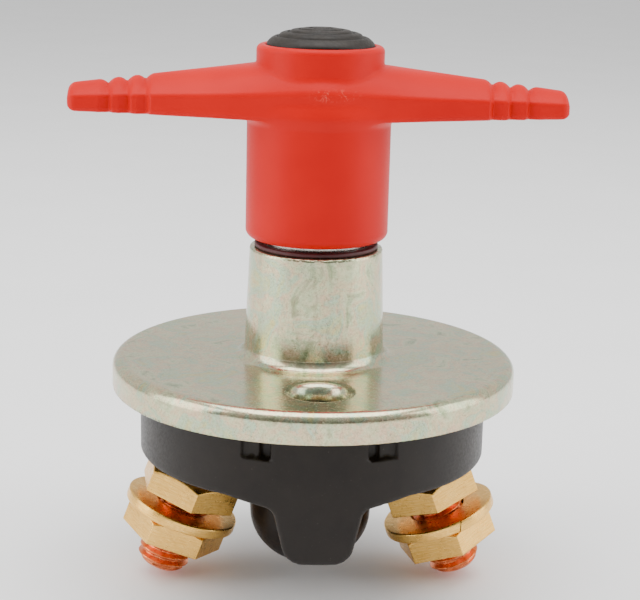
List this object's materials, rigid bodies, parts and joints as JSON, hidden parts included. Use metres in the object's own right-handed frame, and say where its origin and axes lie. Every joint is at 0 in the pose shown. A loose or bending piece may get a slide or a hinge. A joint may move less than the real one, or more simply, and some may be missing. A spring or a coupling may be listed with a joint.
{
  "type": "battery isolator switch",
  "caption": "Panel-mounted quarter-turn battery isolator: T handle on a spindle, pressed metal flange with a collar, dark moulded housing and splayed threaded studs.",
  "frame": {"origin": "centre of the line between the fixing holes, on the flange face that seats under the panel, on the spindle's axis", "axes": "+Z along the spindle towards the handle; X along the T handle and the line of the studs; Y along the line of the fixing holes, -Y the front in the pictured view"},
  "size_m": [0.0904, 0.075, 0.104],
  "materials": {
    "zinc_plate": "zinc plated, yellow passivated",
    "bush_metal": "turned, bright",
    "seal_rubber": "satin",
    "black_rubber": "satin",
    "gasket_fibre": "matt",
    "black_moulding": "satin thermoset moulding",
    "copper": "rolled thread, semi bright",
    "brass": "machined",
    "steel": "zinc plated",
    "red_plastic": "satin moulding",
    "cap_rubber": "satin, ribbed",
    "brown_insulator": "moulded insulator"
  },
  "bodies": {
    "base": {"mounting_flange": "zinc_plate", "spindle_bush": "bush_metal", "seal_ring": "seal_rubber", "spindle_o_ring": "black_rubber", "flange_gasket": "gasket_fibre", "housing": "black_moulding", "stud_left": "copper", "stud_right": "copper", "stud_seal_left": "gasket_fibre", "stud_seal_right": "gasket_fibre", "seat_nut_left": "brass", "seat_nut_right": "brass", "lock_washer_left": "brass", "lock_washer_right": "brass", "terminal_nut_left": "brass", "terminal_nut_right": "brass", "return_spring": "steel"},
    "rotor": {"handle": "red_plastic", "handle_cap": "cap_rubber", "handle_screw": "steel", "handle_washer": "steel", "spindle": "steel", "drive_cam": "steel", "cross_pin": "steel"},
    "carrier": {"contact_carrier": "brown_insulator", "follower_pins": "steel", "contact_bridge": "copper", "contact_spring": "steel", "carrier_circlip": "steel", "spring_seat": "steel"}
  },
  "joints": [
    {"name": "handle_turn", "type": "hinge", "parent": "base", "child": "rotor", "pos_m": [0, 0, 0.012], "axis": [0, 0, -1], "range_deg": [0, 90]},
    {"name": "bridge_drop", "type": "slide", "parent": "base", "child": "carrier", "axis": [0, 0, -1], "range_m": [0, 0.004], "stiffness_N_per_m": 2500, "springref_m": -0.004, "deforming": ["return_spring"]}
  ],
  "couplings": [
    {"joint": "handle_turn", "follows": "bridge_drop", "rad_per_m": 392.7}
  ]
}
